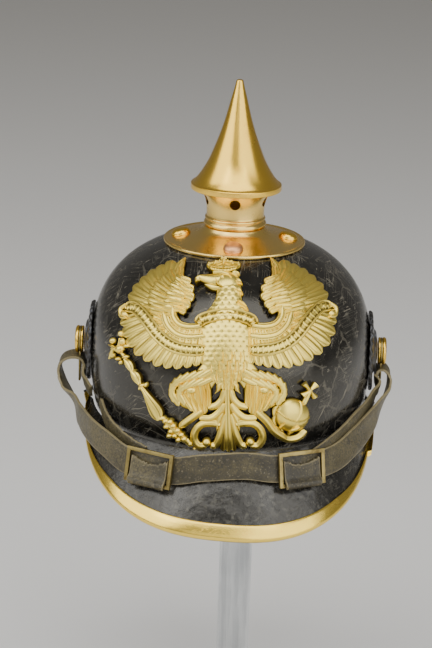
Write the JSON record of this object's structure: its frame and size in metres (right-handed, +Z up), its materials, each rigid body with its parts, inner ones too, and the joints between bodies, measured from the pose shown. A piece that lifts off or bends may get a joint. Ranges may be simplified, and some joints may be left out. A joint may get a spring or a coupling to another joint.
{
  "type": "spiked helmet on a rod stand",
  "caption": "Leather spiked helmet with brass spike, eagle front plate, trimmed visor and chin strap, on a clear rod stand.",
  "frame": {"origin": "centre of the stand foot's underside, on the table", "axes": "+Z up, -Y towards the front visor and the eagle plate, +X towards the viewer's right from the front"},
  "size_m": [0.2101, 0.2576, 0.43],
  "materials": {
    "black_leather": "lacquered, glossy, finely cracked and scratched",
    "strap_leather": "worn, matt",
    "brass": "polished, lightly tarnished",
    "gilt": "satin gilt with dark recesses",
    "aged_brass": "aged, dull",
    "copper": "coppery, worn",
    "black_paint": "black paint, satin",
    "acrylic": "clear, polished"
  },
  "bodies": {
    "root": {"leather_skull": "black_leather", "front_visor": "black_leather", "rear_visor": "black_leather", "visor_trim": "brass", "rear_spine": "brass", "spike_base": "brass", "base_stud_front": "copper", "base_stud_back": "brass", "base_stud_left": "brass", "base_stud_right": "brass", "spike_neck": "brass", "spike": "brass", "cockade_left": "black_paint", "lug_left": "brass", "strap_hook_left": "aged_brass", "cockade_right": "black_paint", "lug_right": "brass", "strap_hook_right": "aged_brass", "chin_strap": "strap_leather", "strap_end_left": "strap_leather", "buckle_left": "aged_brass", "buckle_tab_left": "strap_leather", "buckle_right": "aged_brass", "buckle_tab_right": "strap_leather", "front_plate": "gilt", "stand_pad": "acrylic", "stand_rod": "acrylic", "stand_base": "acrylic"}
  },
  "joints": []
}
